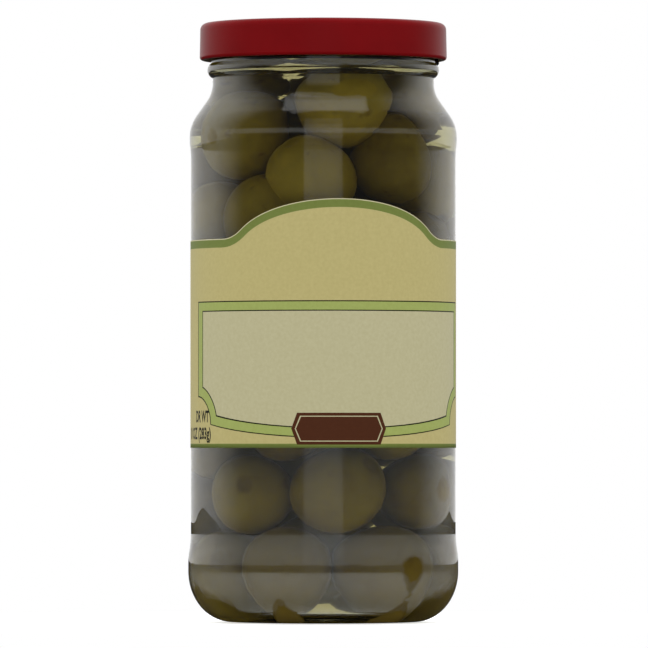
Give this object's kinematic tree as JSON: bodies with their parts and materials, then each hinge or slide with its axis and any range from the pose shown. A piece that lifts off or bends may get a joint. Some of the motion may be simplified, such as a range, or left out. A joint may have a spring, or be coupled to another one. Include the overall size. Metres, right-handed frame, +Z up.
{
  "type": "jar of olives",
  "caption": "Tall round glass food jar of whole green olives in brine, with a red twist-off lid and an arched paper label.",
  "frame": {"origin": "middle of the bearing ring on the table, under the jar's axis", "axes": "+Z up along the jar's axis; -Y out through the middle of the label"},
  "size_m": [0.0722, 0.0722, 0.16],
  "materials": {
    "glass": "clear flint glass, pressed and blown, fire-polished",
    "lid": "drawn tinplate, gloss red lacquer outside, gold lacquer inside",
    "label": "printed paper, satin varnish",
    "contents": "whole green olives in clear pale brine"
  },
  "bodies": {
    "root": {"jar": "glass", "lid": "lid", "label": "label", "contents": "contents"}
  },
  "joints": []
}
